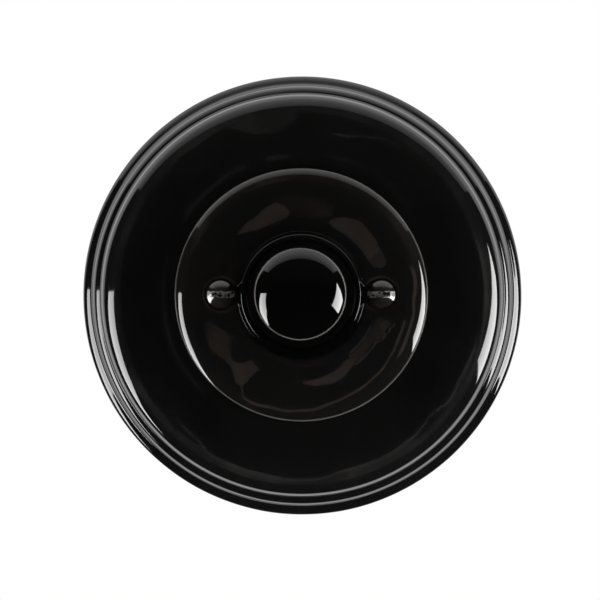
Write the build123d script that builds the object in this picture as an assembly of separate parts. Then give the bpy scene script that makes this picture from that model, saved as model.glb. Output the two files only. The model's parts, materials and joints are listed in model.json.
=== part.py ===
from build123d import *
from math import atan2, cos, degrees, radians, sin, sqrt, tan
import os

# Round porcelain rotary dimmer with a push knob, in millimetres.
# It is drawn with +z out of the wall and +y up, then turned so that its front looks along -Y and +Z is up.

# Porcelain frame
frame_radius = 50.0  # rim at the wall
foot_width = 6.0  # ring that stands on the wall
foot_round = 0.6
rim_height = 1.0  # plain rim below the first step
lip_round = 0.9  # corner above the plain rim
lip_radius = 4.8  # front edge of the outer step
outer_tread = 0.4  # straight part of the outer step
outer_cove = 2.0  # hollow at the foot of the first riser
outer_riser = 0.8
brow_round = 2.6  # corners above the two risers
brow_radius = 5.0  # front edge of the inner step
inner_tread = 0.2
inner_cove = 0.8
inner_riser = 1.4
shoulder_radius = 5.8  # front edge of the plate
crown_radius = 13.4  # where the plate's edge flattens into its face
corner_slope = 52.0  # where lip and shoulder begin; slopes are degrees from the wall plane
outer_slope = 35.0
inner_slope = 33.0
riser_slope = 68.0
brow_slope = 41.0  # where brow and crown begin
crown_slope = 3.0
frame_wall = 4.2  # plate over the hollow back
hollow_round = 3.0
aperture_wall = 3.2  # stiffening ring round the aperture
aperture_depth = 6.4

# Porcelain cover
cover_radius = 28.5
cover_overlap = 2.0  # onto the frame
seat_margin = 0.6  # flat seat beyond the cover's edge
cover_lip = 0.4
edge_round = 0.6
edge_radius = 8.0  # from the edge into the face
edge_slope = 47.0  # where the two meet
face_radius = 114.0  # slight crown of the face
face_slope = 7.0  # where edge and face meet
collar_width = 2.2
collar_height = 1.9
collar_round = 0.45
skirt_wall = 2.4  # ring that centres the cover in the frame
skirt_depth = 2.6
skirt_clearance = 0.3
boss_radius = 4.2  # under each cover screw
boss_depth = 2.2

# Cover screws and their pillars
screw_spacing = 36.0
screw_head_radius = 3.1
screw_head_side = 0.3
screw_apex_radius = 2.3  # middle of the domed head
screw_apex_slope = 33.5  # where the middle meets the flank
screw_flank_slope = 43.0  # where the flank meets the side
screw_shank_radius = 1.75
screw_length = 8.5
screw_slot_width = 1.15
screw_slot_depth = 0.9
recess_gap = 0.1
recess_cove = 1.2
recess_depth = 0.45
recess_slope = 35.0
recess_round = 0.5
pillar_flats = 6.0
pillar_spigot_radius = 2.0
thread_clearance = 0.05
thread_spare = 1.0  # tapped depth below the screw's end

# Knob, its insert and the shaft
knob_radius = 10.3
knob_gap = 1.7  # to the collar's hole
knob_stand = 12.2  # top above the collar
knob_dome = 5.35  # height of the rounded top
knob_shoulder = 1.4  # rounding at the dome's edge
knob_sink = 3.6  # base below the cover's seat
knob_base_round = 0.8
knob_roof = 7.0  # porcelain over the insert
knob_hollow_radius = 6.5
insert_radius = 4.5
insert_length = 8.0
glue_line = 0.05
push_travel = 1.5
turn_reach = 150.0  # degrees each way from the middle
shaft_radius = 3.0
shaft_flat = 2.25  # flat's distance from the axis
shaft_chamfer = 0.5
flat_run_out = 0.5
tail_radius = 2.1
tail_end = 0.5  # beyond the retaining ring
groove_depth = 0.5
ring_radius = 4.0
ring_thickness = 0.6
ring_mouth = 2.6
sliding_clearance = 0.1
running_clearance = 0.05

# Support plate, bushing and nut
plate_side = 71.0
plate_thickness = 1.2
plate_clearance = 2.0  # to the frame's foot
box_screw_spacing = 60.0
box_screw_radius = 2.1
box_screw_holes = 4  # two across and two upright
bushing_radius = 5.0
bushing_flange_radius = 8.4
bushing_flange = 1.5
bushing_stand = 2.0  # beyond the nut
nut_flats = 14.0
nut_height = 2.8
nut_chamfer_slope = 30.0

# Housing
housing_width = 48.0
housing_height = 44.0
housing_corner = 8.0
housing_wall = 1.8
housing_round = 1.0
lid_thickness = 2.0
post_radius = 3.0
post_inset = 4.7  # from the inner walls
case_screw_radius = 1.3
case_screw_head_radius = 2.5
case_screw_head = 1.4
case_screw_length = 11.0
driver_slot_width = 0.6
driver_slot_depth = 0.6
vent_count = 5
vent_width = 1.4
vent_pitch = 4.2
vent_margin = 3.0
part_clearance = 0.5
board_thickness = 1.6
under_board_room = 10.2

# Potentiometer
pot_radius = 9.0
pot_wall = 1.2
pot_floor = 1.0
pot_depth = 6.5
rotor_thickness = 2.5
rotor_clearance = 0.2
stop_width = 1.5
tab_half_angle = 10.0
stop_play = 1.5  # degrees left at each end of the turn
track_thickness = 0.8
track_margin = 1.0
track_gap = 5.0  # degrees from the stop to the track's ends
wiper_thickness = 0.3
wiper_width = 1.2
wiper_finger = 3.0
wiper_clearance = 0.05

# Push switch
plunger_radius = 2.6
plunger_flange_radius = 4.2
plunger_flange = 1.0
plunger_pin_radius = 1.5
plunger_pin = 2.0
case_wall = 2.5
case_roof = 1.2
case_floor = 1.2
spring_wire = 0.5
spring_turns = 4.0
spring_clearance = 0.3

# Parts on the board
triac_length = 15.7
triac_tab = 6.5
triac_tab_thickness = 1.3
triac_thickness = 4.5
triac_hole_inset = 3.2
triac_leg = 0.8
triac_leg_pitch = 2.54
triac_leg_reach = 2.2
pad_thickness = 0.3
triac_screw_radius = 1.45
triac_screw_head_radius = 2.6
triac_screw_head = 1.8
choke_hole_radius = 2.2
winding_thickness = 0.8
winding_arc = 300.0
core_height = 6.0
choke_margin = 1.0
capacitor_width = 7.0
capacitor_length = 13.0
capacitor_headroom = 1.4
capacitor_round = 0.8
fuse_radius = 2.5
fuse_length = 20.0
fuse_cap_length = 5.0
fuse_glass_radius = 2.3
clip_thickness = 0.5
clip_width = 4.0
clip_height = 3.4
terminal_count = 3
terminal_pitch = 9.0
terminal_width = 6.5
terminal_depth = 7.0
terminal_wall = 1.0
terminal_screw_radius = 1.5
terminal_head_radius = 2.3
terminal_head = 1.4
wire_entry = 3.6
access_radius = 2.6

upright = 90.0
hexagon_sides = 6


def tangent_chain(start, heading, moves):
    """Arcs (radius, angle) and straight runs (length, 0) that follow each other without a corner."""
    edges = []
    for size, turn in moves:
        if turn:
            edge = JernArc(start, heading, size, turn)
        else:
            edge = Line(start, Vector(*start) + Vector(*heading) * size)
        edges.append(edge)
        start = edge @ 1
        heading = edge % 1
    return edges


def turned(edges):
    """A solid of revolution from a closed outline of (radius, height)."""
    return revolve(Plane.XZ * make_face(edges), Axis.Z)


def lathed(*points):
    return turned(Polyline(*points, close=True))


def rod(radius, low, high):
    return Pos(0, 0, low) * extrude(Circle(radius), high - low)


def tube(outer, inner, low, high):
    return Pos(0, 0, low) * extrude(Circle(outer) - Circle(inner), high - low)


def raised(sketch, low, high):
    return Pos(0, 0, low) * extrude(sketch, high - low)


def flatted(radius, flat):
    """A round section with one flat on its +y side."""
    return Circle(radius) - Pos(0, flat + radius) * Rectangle(2 * radius, 2 * radius)


def wedge(half_angle, reach):
    """A sector about +y, cut off straight beyond the reach."""
    side = reach / cos(radians(half_angle))
    far = (side * sin(radians(half_angle)), reach)
    return make_face(Polyline((0, 0), far, (-far[0], far[1]), close=True))


def cut_corners(width, height, corner):
    return chamfer(Rectangle(width, height).vertices(), corner)


def group(pieces):
    return Compound([solid for piece in pieces for solid in piece.solids()])


# The frame's rim, from the wall up to the plate, fixes the level of the cover's seat
outer_step = [
    (lip_round, upright - corner_slope),
    (lip_radius, corner_slope - outer_slope),
    (outer_tread, 0),
    (outer_cove, outer_slope - riser_slope),
    (outer_riser, 0),
]
inner_step = [
    (brow_round, riser_slope - brow_slope),
    (brow_radius, brow_slope - inner_slope),
    (inner_tread, 0),
    (inner_cove, inner_slope - riser_slope),
    (inner_riser, 0),
]
plate_edge = [
    (brow_round, riser_slope - corner_slope),
    (shoulder_radius, corner_slope - brow_slope),
    (crown_radius, brow_slope - crown_slope),
]
rim_edges = tangent_chain((frame_radius, rim_height), (0, 1), outer_step + inner_step + plate_edge)
crown_end = rim_edges[-1] @ 1
seat_radius = cover_radius + seat_margin
seat_level = crown_end.Y + (crown_end.X - seat_radius) * tan(radians(crown_slope))
aperture_radius = cover_radius - cover_overlap
hollow_radius = frame_radius - foot_width

# The cover's face, from its edge in to the collar
hole_radius = knob_radius + knob_gap
collar_radius = hole_radius + collar_width
cover_edges = tangent_chain(
    (cover_radius, seat_level + cover_lip),
    (0, 1),
    [(edge_round, upright - edge_slope), (edge_radius, edge_slope - face_slope)],
)
face_start = cover_edges[-1] @ 1
face_middle = face_start.X - face_radius * sin(radians(face_slope))
face_centre = face_start.Y - face_radius * cos(radians(face_slope))


def face_level(radius):
    return face_centre + sqrt(face_radius**2 - (radius - face_middle) ** 2)


collar_top = face_level(collar_radius) + collar_height
screw_seat = face_level(screw_spacing / 2) - recess_depth
boss_low = seat_level - boss_depth
screw_places = [Pos(-screw_spacing / 2, 0), Pos(screw_spacing / 2, 0)]

# Levels up the shaft, from the knob's top to the switch
knob_top = collar_top + knob_stand
knob_base = seat_level - knob_sink
insert_top = knob_top - knob_roof
insert_low = insert_top - insert_length
shaft_top = insert_top - flat_run_out
bushing_top = plate_thickness + nut_height + bushing_stand
flange_low = -lid_thickness - bushing_flange
pot_low = flange_low - pot_depth
rotor_top = flange_low - rotor_clearance
rotor_low = rotor_top - rotor_thickness
pot_floor_top = pot_low + pot_floor
track_top = pot_floor_top + track_thickness
board_low = pot_low - board_thickness
ring_top = pot_low - running_clearance
ring_low = ring_top - ring_thickness
shaft_low = ring_low - tail_end
tub_floor = board_low - under_board_room
tub_low = tub_floor - housing_wall

# Places across the housing
inner_half_width = housing_width / 2 - housing_wall
inner_half_height = housing_height / 2 - housing_wall
inner_corner = housing_corner - housing_wall * (2 - sqrt(2))
post_x = inner_half_width - post_inset
post_y = inner_half_height - post_inset
screw_posts = [Pos(post_x, post_y), Pos(-post_x, -post_y)]
board_posts = [Pos(-post_x, post_y), Pos(post_x, -post_y)]
ring_room = ring_radius + part_clearance
spring_bore = plunger_flange_radius + spring_clearance
case_half = spring_bore + case_wall
pot_inner = pot_radius - pot_wall
rotor_radius = pot_inner - stop_width - rotor_clearance
bay_x = (case_half + inner_half_width) / 2
bay_width = inner_half_width - case_half
bay_y = (pot_radius + inner_half_height) / 2
bay_height = inner_half_height - pot_radius
triac_width = bay_height - 2 * part_clearance
triac_screw_place = Pos(triac_hole_inset - triac_length / 2, bay_y)
terminal_y = part_clearance + terminal_depth / 2 - inner_half_height
terminal_low = tub_floor + terminal_head + part_clearance
terminal_places = [
    Pos((index - (terminal_count - 1) / 2) * terminal_pitch, terminal_y) for index in range(terminal_count)
]
wire_level = (terminal_low + terminal_wall + board_low) / 2


def porcelain_frame():
    ceiling = seat_level - frame_wall
    collar_low = seat_level - aperture_depth
    ring_outer = aperture_radius + aperture_wall
    foot = JernArc((frame_radius - foot_round, 0), (1, 0), foot_round, upright)
    corner = JernArc((hollow_radius - hollow_round, ceiling), (1, 0), hollow_round, -upright)
    outline = [
        Line((hollow_radius, 0), foot @ 0),
        foot,
        Line(foot @ 1, (frame_radius, rim_height)),
        *rim_edges,
        Line(crown_end, (seat_radius, seat_level)),
        Line((seat_radius, seat_level), (aperture_radius, seat_level)),
        Polyline(
            (aperture_radius, seat_level),
            (aperture_radius, collar_low),
            (ring_outer, collar_low),
            (ring_outer, ceiling),
            corner @ 0,
        ),
        corner,
        Line(corner @ 1, (hollow_radius, 0)),
    ]
    return turned(outline)


def screw_recess():
    """A dished seat for a screw head, flat in the middle."""
    floor_radius = screw_head_radius + recess_gap
    cove = JernArc((floor_radius, screw_seat), (1, 0), recess_cove, recess_slope)
    rim = cove @ 1
    top = (rim.X + (collar_top - rim.Y) / tan(radians(recess_slope)), collar_top)
    outline = [
        Line((0, screw_seat), cove @ 0),
        cove,
        Polyline(cove @ 1, top, (0, collar_top), (0, screw_seat)),
    ]
    return turned(outline)


def porcelain_cover():
    skirt_outer = aperture_radius - skirt_clearance
    skirt_inner = skirt_outer - skirt_wall
    skirt_low = seat_level - skirt_depth
    hole_edge = (hole_radius, face_level(hole_radius))
    face = ThreePointArc(face_start, (collar_radius, face_level(collar_radius)), hole_edge)
    outer_round = JernArc((collar_radius, collar_top - collar_round), (0, 1), collar_round, upright)
    inner_round = JernArc((hole_radius + collar_round, collar_top), (-1, 0), collar_round, upright)
    outline = [
        Polyline(
            (hole_radius, seat_level),
            (skirt_inner, seat_level),
            (skirt_inner, skirt_low),
            (skirt_outer, skirt_low),
            (skirt_outer, seat_level),
            (cover_radius, seat_level),
            (cover_radius, seat_level + cover_lip),
        ),
        *cover_edges,
        face,
        Line(hole_edge, (hole_radius, seat_level)),
    ]
    collar = [
        Line((collar_radius, seat_level), outer_round @ 0),
        outer_round,
        Line(outer_round @ 1, inner_round @ 0),
        inner_round,
        Polyline(inner_round @ 1, (hole_radius, seat_level), (collar_radius, seat_level)),
    ]
    cover = turned(outline)
    recess = screw_recess()
    for place in screw_places:
        dished = cover - place * recess
        rim = new_edges(cover, place * recess, combined=dished)
        cover = fillet(rim, recess_round)
    cover += turned(collar)
    shank_hole = screw_shank_radius + skirt_clearance
    for place in screw_places:
        cover += place * rod(boss_radius, boss_low, seat_level)
        cover -= place * rod(shank_hole, boss_low, screw_seat)
    return cover


def cover_screws():
    apex_sine = sin(radians(screw_apex_slope))
    apex_cosine = cos(radians(screw_apex_slope))
    flank_run = screw_head_radius - screw_apex_radius * apex_sine
    flank_radius = flank_run / (sin(radians(screw_flank_slope)) - apex_sine)
    flank_rise = flank_radius * (apex_cosine - cos(radians(screw_flank_slope)))
    dome_base = screw_seat + screw_head_side
    dome_top = dome_base + flank_rise + screw_apex_radius * (1 - apex_cosine)
    dome = tangent_chain(
        (0, dome_top),
        (1, 0),
        [(screw_apex_radius, -screw_apex_slope), (flank_radius, screw_apex_slope - screw_flank_slope)],
    )
    outline = [
        *dome,
        Polyline(
            dome[-1] @ 1,
            (screw_head_radius, screw_seat),
            (screw_shank_radius, screw_seat),
            (screw_shank_radius, screw_seat - screw_length),
            (0, screw_seat - screw_length),
            (0, dome_top),
        ),
    ]
    slot = raised(
        Rectangle(2 * screw_head_radius, screw_slot_width), dome_top - screw_slot_depth, dome_top
    )
    screw = turned(outline) - slot
    return group(place * screw for place in screw_places)


def cover_pillars():
    hexagon = RegularPolygon(pillar_flats / 2, hexagon_sides, major_radius=False)
    pillar = raised(hexagon, plate_thickness, boss_low)
    pillar += rod(pillar_spigot_radius, 0, plate_thickness)
    thread_low = screw_seat - screw_length - thread_spare
    pillar -= rod(screw_shank_radius + thread_clearance, thread_low, boss_low)
    return group(place * pillar for place in screw_places)


def knob():
    dome_base = knob_top - knob_dome
    rise = knob_dome - knob_shoulder
    crown = (knob_radius**2 - 2 * knob_radius * knob_shoulder + knob_dome**2) / (2 * rise)
    turn = degrees(atan2(crown - knob_dome, knob_radius - knob_shoulder))
    dome = tangent_chain((knob_radius, dome_base), (0, 1), [(knob_shoulder, turn), (crown, upright - turn)])
    base_round = JernArc((knob_radius - knob_base_round, knob_base), (1, 0), knob_base_round, upright)
    bore_radius = insert_radius + glue_line
    outline = [
        Line(base_round @ 1, (knob_radius, dome_base)),
        *dome,
        Polyline(
            (0, knob_top),
            (0, insert_top),
            (bore_radius, insert_top),
            (bore_radius, insert_low),
            (knob_hollow_radius, insert_low),
            (knob_hollow_radius, knob_base),
            base_round @ 0,
        ),
        base_round,
    ]
    return turned(outline)


def knob_insert():
    bore = flatted(shaft_radius + running_clearance, shaft_flat + running_clearance)
    return raised(Circle(insert_radius) - bore, insert_low, insert_top)


def shaft():
    groove_radius = tail_radius - groove_depth
    bar = lathed(
        (0, shaft_low),
        (tail_radius, shaft_low),
        (tail_radius, ring_low),
        (groove_radius, ring_low),
        (groove_radius, ring_top),
        (tail_radius, ring_top),
        (tail_radius, rotor_low),
        (shaft_radius, rotor_low),
        (shaft_radius, shaft_top - shaft_chamfer),
        (shaft_radius - shaft_chamfer, shaft_top),
        (0, shaft_top),
    )
    beside_flat = Circle(2 * shaft_radius) - flatted(2 * shaft_radius, shaft_flat)
    bar -= raised(beside_flat, insert_low - flat_run_out, shaft_top)
    bar -= raised(beside_flat, rotor_low, rotor_top + push_travel + flat_run_out)
    return bar


def retaining_ring():
    inner = tail_radius - groove_depth + running_clearance
    mouth = Pos(0, -ring_radius) * Rectangle(ring_mouth, 2 * ring_radius)
    return raised(Circle(ring_radius) - Circle(inner) - mouth, ring_low, ring_top)


def support_plate():
    corner_radius = hollow_radius - plate_clearance
    outline = Rectangle(plate_side, plate_side) & Circle(corner_radius)
    outline -= Circle(bushing_radius + sliding_clearance)
    for turn in range(box_screw_holes):
        swing = Rot(0, 0, turn * upright)
        outline -= swing * Pos(box_screw_spacing / 2, 0) * Circle(box_screw_radius)
    for place in screw_places:
        outline -= place * Circle(pillar_spigot_radius + thread_clearance)
    for place in screw_posts:
        outline -= place * Circle(case_screw_radius + sliding_clearance)
    outline -= triac_screw_place * Circle(triac_screw_radius + thread_clearance)
    return raised(outline, 0, plate_thickness)


def bushing():
    bore = shaft_radius + running_clearance
    neck = tube(bushing_radius, bore, -lid_thickness, bushing_top)
    return neck + tube(bushing_flange_radius, bore, flange_low, -lid_thickness)


def bushing_nut():
    top = plate_thickness + nut_height
    hexagon = RegularPolygon(nut_flats / 2, hexagon_sides, major_radius=False)
    corner = nut_flats / sqrt(3)
    drop = (corner - nut_flats / 2) * tan(radians(nut_chamfer_slope))
    envelope = lathed(
        (0, plate_thickness),
        (corner, plate_thickness),
        (corner, top - drop),
        (nut_flats / 2, top),
        (0, top),
    )
    nut = raised(hexagon, plate_thickness, top) & envelope
    return nut - rod(bushing_radius + thread_clearance, plate_thickness, top)


def housing_lid():
    outline = cut_corners(housing_width, housing_height, housing_corner)
    outline -= Circle(bushing_radius + sliding_clearance)
    for place in screw_posts:
        outline -= place * Circle(case_screw_radius + sliding_clearance)
    window = Rectangle(triac_length + 2 * part_clearance, triac_width + part_clearance)
    outline -= Pos(0, bay_y) * window
    return raised(outline, -lid_thickness, 0)


def housing_tub():
    block = raised(cut_corners(housing_width, housing_height, housing_corner), tub_low, -lid_thickness)
    block = fillet(block.edges().filter_by(Axis.Z), housing_round)
    block = fillet(block.faces().sort_by(Axis.Z)[0].edges(), housing_round)
    inside = cut_corners(2 * inner_half_width, 2 * inner_half_height, inner_corner)
    room = raised(inside, tub_floor, -lid_thickness)
    tub = block - room
    for place in screw_posts:
        post = place * rod(post_radius, tub_floor, -lid_thickness) & room
        pilot_low = plate_thickness - case_screw_length
        tub += post - place * rod(case_screw_radius + thread_clearance, pilot_low, -lid_thickness)
    for place in board_posts:
        tub += place * rod(post_radius, tub_floor, board_low) & room
    through_wall = 2 * (housing_wall + part_clearance)
    entry = Pos(0, -housing_height / 2, wire_level) * Box(wire_entry, through_wall, wire_entry)
    for place in terminal_places:
        tub -= Pos(place.position.X, 0) * entry
        tub -= place * rod(access_radius, tub_low, tub_floor)
    vent_length = board_low - tub_floor - 2 * vent_margin
    vent = Box(vent_width, through_wall, vent_length)
    for index in range(vent_count):
        x = (index - (vent_count - 1) / 2) * vent_pitch
        tub -= Pos(x, housing_height / 2, (board_low + tub_floor) / 2) * vent
    return tub


def housing_screws():
    head_top = plate_thickness + case_screw_head
    screw = rod(case_screw_radius, plate_thickness - case_screw_length, plate_thickness)
    screw += rod(case_screw_head_radius, plate_thickness, head_top)
    slot = Rectangle(2 * case_screw_head_radius, driver_slot_width)
    screw -= raised(slot, head_top - driver_slot_depth, head_top)
    return group(place * screw for place in screw_posts)


stop_half_angle = 2 * upright - turn_reach - tab_half_angle - stop_play


def pot_cup():
    cup = rod(pot_radius, pot_low, flange_low)
    cup -= rod(pot_inner, pot_floor_top, flange_low)
    cup -= rod(tail_radius + part_clearance, pot_low, pot_floor_top)
    band = Circle(pot_inner) - Circle(pot_inner - stop_width)
    stop = band & Rot(0, 0, 2 * upright) * wedge(stop_half_angle, pot_radius)
    return cup + raised(stop, pot_floor_top, flange_low)


def pot_track():
    band = Circle(pot_inner - rotor_clearance) - Circle(shaft_radius + track_margin)
    gap = Rot(0, 0, 2 * upright) * wedge(stop_half_angle + track_gap, pot_radius)
    return raised(band - gap, pot_floor_top, track_top)


def pot_rotor():
    disc = Circle(rotor_radius)
    disc += Circle(pot_inner - rotor_clearance) & wedge(tab_half_angle, pot_radius)
    disc -= flatted(shaft_radius + sliding_clearance, shaft_flat + sliding_clearance)
    return raised(disc, rotor_low, rotor_top)


def pot_wiper():
    outer = rotor_radius - rotor_clearance
    ring = tube(outer, outer - wiper_width, rotor_low - wiper_thickness, rotor_low)
    contact = track_top + wiper_clearance
    top = rotor_low - wiper_thickness
    strip = make_face(
        Polyline(
            (0, top),
            (wiper_finger, contact + wiper_thickness),
            (wiper_finger, contact),
            (wiper_finger - wiper_width, contact),
            (-wiper_width, top),
            close=True,
        )
    )
    finger = extrude(Plane.XZ * strip, wiper_width)
    return ring + Pos(0, sqrt(outer**2 - wiper_finger**2)) * finger


def circuit_board():
    outline = cut_corners(
        2 * (inner_half_width - part_clearance), 2 * (inner_half_height - part_clearance), inner_corner
    )
    outline -= Circle(ring_room)
    for place in screw_posts:
        outline -= place * Circle(post_radius + part_clearance)
    return raised(outline, board_low, pot_low)


case_step = ring_low - push_travel - part_clearance
case_ceiling = case_step - case_roof
case_floor_top = tub_floor + case_floor
flange_under = case_ceiling - plunger_flange


def switch_case():
    case = raised(Rectangle(2 * case_half, 2 * case_half), tub_floor, board_low)
    case = fillet(case.edges().filter_by(Axis.Z), housing_round)
    case -= rod(ring_room, case_step, board_low)
    case -= rod(plunger_radius + sliding_clearance, case_ceiling, case_step)
    return case - rod(spring_bore, case_floor_top, case_ceiling)


def switch_plunger():
    stem = rod(plunger_radius, case_ceiling, shaft_low)
    stem += rod(plunger_flange_radius, flange_under, case_ceiling)
    return stem + rod(plunger_pin_radius, flange_under - plunger_pin, flange_under)


def return_spring():
    coil_radius = plunger_pin_radius + spring_clearance + spring_wire / 2
    rise = flange_under - case_floor_top - spring_wire
    coil = Pos(0, 0, case_floor_top + spring_wire / 2) * Helix(rise / spring_turns, rise, coil_radius)
    section = Plane(coil @ 0, z_dir=coil % 0) * Circle(spring_wire / 2)
    return sweep(section, path=coil, is_frenet=True)


def triac():
    top = -pad_thickness
    tab = Rectangle(triac_length, triac_width)
    hole = Pos(triac_hole_inset - triac_length / 2, 0) * Circle(triac_screw_radius + sliding_clearance)
    package = raised(tab - hole, top - triac_tab_thickness, top)
    body = Rectangle(triac_length - triac_tab, triac_width)
    package += Pos(triac_tab / 2, 0) * raised(body, top - triac_thickness, top)
    leg_top = top - (triac_thickness + triac_tab_thickness) / 2
    leg_x = triac_length / 2 + triac_leg_reach
    bent = make_face(
        Polyline(
            (triac_length / 2, leg_top),
            (leg_x, leg_top),
            (leg_x, pot_low),
            (leg_x - triac_leg, pot_low),
            (leg_x - triac_leg, leg_top - triac_leg),
            (triac_length / 2, leg_top - triac_leg),
            close=True,
        )
    )
    leg = extrude(Plane.XZ * bent, triac_leg / 2, both=True)
    for side in (-1, 0, 1):
        package += Pos(0, side * triac_leg_pitch) * leg
    return Pos(0, bay_y) * package


def triac_pad():
    sheet = Pos(0, bay_y) * Rectangle(triac_length, triac_width)
    sheet -= triac_screw_place * Circle(triac_screw_radius + sliding_clearance)
    return raised(sheet, -pad_thickness, 0)


def triac_screw():
    seat = -pad_thickness - triac_tab_thickness
    screw = rod(triac_screw_radius, seat, plate_thickness)
    screw += rod(triac_screw_head_radius, seat - triac_screw_head, seat)
    slot = Rectangle(2 * triac_screw_head_radius, driver_slot_width)
    screw -= raised(slot, seat - triac_screw_head, seat - triac_screw_head + driver_slot_depth)
    return triac_screw_place * screw


choke_radius = bay_width / 2 - choke_margin
core_top = board_low - winding_thickness
core_low = core_top - core_height
core_outer = choke_radius - winding_thickness
core_inner = choke_hole_radius + winding_thickness


def choke_core():
    return Pos(-bay_x, 0) * tube(core_outer, core_inner, core_low, core_top)


def choke_winding():
    high = core_top + winding_thickness
    low = core_low - winding_thickness
    outside = Pos((choke_radius + choke_hole_radius) / 2, (high + low) / 2) * Rectangle(
        choke_radius - choke_hole_radius, high - low
    )
    core = Pos((core_outer + core_inner) / 2, (core_top + core_low) / 2) * Rectangle(
        core_outer - core_inner, core_top - core_low
    )
    return Pos(-bay_x, 0) * revolve(Plane.XZ * (outside - core), Axis.Z, winding_arc)


def film_capacitor():
    height = under_board_room - capacitor_headroom
    box = raised(Rectangle(capacitor_width, capacitor_length), board_low - height, board_low)
    box = fillet(box.edges().filter_by(Axis.Z), capacitor_round)
    return Pos(bay_x, 0) * box


fuse_place = Pos(0, -bay_y, pot_low + clip_thickness + fuse_radius)


def fuse():
    bar = rod(fuse_glass_radius, -fuse_length / 2, fuse_length / 2)
    bar += rod(fuse_radius, fuse_length / 2 - fuse_cap_length, fuse_length / 2)
    bar += rod(fuse_radius, -fuse_length / 2, fuse_cap_length - fuse_length / 2)
    return fuse_place * Rot(0, upright, 0) * bar


def fuse_clips():
    outer = fuse_radius + clip_thickness
    channel = Rectangle(2 * outer, clip_height + clip_thickness)
    channel -= Pos(0, clip_thickness / 2) * Rectangle(2 * fuse_radius, clip_height)
    clip = extrude(Plane.YZ * channel, clip_width / 2, both=True)
    level = pot_low + (clip_height + clip_thickness) / 2
    x = (fuse_length - fuse_cap_length) / 2
    return group(Pos(side * x, -bay_y, level) * clip for side in (-1, 1))


def terminal_clamps():
    cage = raised(Rectangle(terminal_width, terminal_depth), terminal_low, board_low)
    window_low = terminal_low + terminal_wall + wire_entry / 2
    mouth = Rectangle(terminal_width - 2 * terminal_wall, board_low - window_low - terminal_wall)
    middle = (board_low - terminal_wall + window_low) / 2
    cage -= Pos(0, 0, middle) * extrude(Plane.XZ * mouth, terminal_depth, both=True)
    cage -= rod(terminal_screw_radius + thread_clearance, terminal_low, window_low)
    return group(place * cage for place in terminal_places)


def terminal_screws():
    tip = terminal_low + terminal_wall + wire_entry / 2
    screw = rod(terminal_screw_radius, terminal_low, tip)
    head_low = terminal_low - terminal_head
    screw += rod(terminal_head_radius, head_low, terminal_low)
    slot = Rectangle(2 * terminal_head_radius, driver_slot_width)
    screw -= raised(slot, head_low, head_low + driver_slot_depth)
    return group(place * screw for place in terminal_places)


makers = [
    porcelain_frame,
    porcelain_cover,
    cover_screws,
    cover_pillars,
    knob,
    knob_insert,
    shaft,
    retaining_ring,
    support_plate,
    bushing,
    bushing_nut,
    housing_lid,
    housing_tub,
    housing_screws,
    pot_cup,
    pot_track,
    pot_rotor,
    pot_wiper,
    circuit_board,
    switch_case,
    switch_plunger,
    return_spring,
    triac,
    triac_pad,
    triac_screw,
    choke_core,
    choke_winding,
    film_capacitor,
    fuse,
    fuse_clips,
    terminal_clamps,
    terminal_screws,
]

os.makedirs("parts", exist_ok=True)
for maker in makers:
    piece = Rot(upright, 0, 0) * maker()
    export_step(piece, f"parts/{maker.__name__}.step")
print(f"cover seat {seat_level:.2f}, collar top {collar_top:.2f}")
print(f"knob top {knob_top:.2f}, back {tub_low:.2f}")
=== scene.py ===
import json
from functools import partial
from math import atan2, ceil, cos, degrees, hypot, pi, radians, sin, tan

import bmesh
import bpy
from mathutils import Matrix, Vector, geometry, noise


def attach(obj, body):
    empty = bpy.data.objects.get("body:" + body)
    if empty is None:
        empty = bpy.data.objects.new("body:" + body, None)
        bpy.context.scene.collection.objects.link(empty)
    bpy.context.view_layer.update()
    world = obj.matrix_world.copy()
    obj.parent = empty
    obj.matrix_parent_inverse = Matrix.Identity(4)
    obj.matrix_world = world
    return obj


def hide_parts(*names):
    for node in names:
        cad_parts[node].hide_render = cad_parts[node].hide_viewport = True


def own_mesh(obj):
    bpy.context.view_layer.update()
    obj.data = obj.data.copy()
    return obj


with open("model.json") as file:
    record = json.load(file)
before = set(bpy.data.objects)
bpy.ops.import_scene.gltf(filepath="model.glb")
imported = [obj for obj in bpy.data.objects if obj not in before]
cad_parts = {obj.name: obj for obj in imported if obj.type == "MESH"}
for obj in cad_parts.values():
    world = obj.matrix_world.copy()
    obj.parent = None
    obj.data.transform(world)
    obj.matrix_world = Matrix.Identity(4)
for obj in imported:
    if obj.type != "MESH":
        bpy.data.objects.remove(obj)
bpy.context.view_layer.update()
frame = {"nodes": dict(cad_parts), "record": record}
mm = 0.001
print("frame loaded:", len(frame["nodes"]), "nodes")


def linear(hexCode):
    channels = [int(hexCode[i : i + 2], 16) / 255 for i in (1, 3, 5)]
    return [c / 12.92 if c <= 0.04045 else ((c + 0.055) / 1.055) ** 2.4 for c in channels] + [1.0]


def setInputs(node, inputs):  # values, sockets, or nodes, which stand for their first output
    for key, value in inputs.items():
        if isinstance(value, bpy.types.Node):
            value = next(socket for socket in value.outputs if socket.enabled)
        if isinstance(value, bpy.types.NodeSocket):
            node.id_data.links.new(value, node.inputs[key])
        else:
            node.inputs[key].default_value = value


def addNode(tree, kind, inputs=None, **settings):  # a shader node, unless kind is the full name of another
    made = tree.nodes.new(kind if "Node" in kind else "ShaderNode" + kind)
    for name, value in settings.items():
        setattr(made, name, value)
    setInputs(made, inputs or {})
    return made


def newMaterial(name, **sockets):
    material = bpy.data.materials.new(name)
    material.use_nodes = True
    tree = material.node_tree
    shader = tree.nodes["Principled BSDF"]
    setInputs(shader, sockets)
    add = partial(addNode, tree)
    return material, add, shader, add("TexCoord").outputs["Object"]


def newObject(name, data):
    made = bpy.data.objects.new(name, data)
    bpy.context.scene.collection.objects.link(made)
    return made


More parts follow.
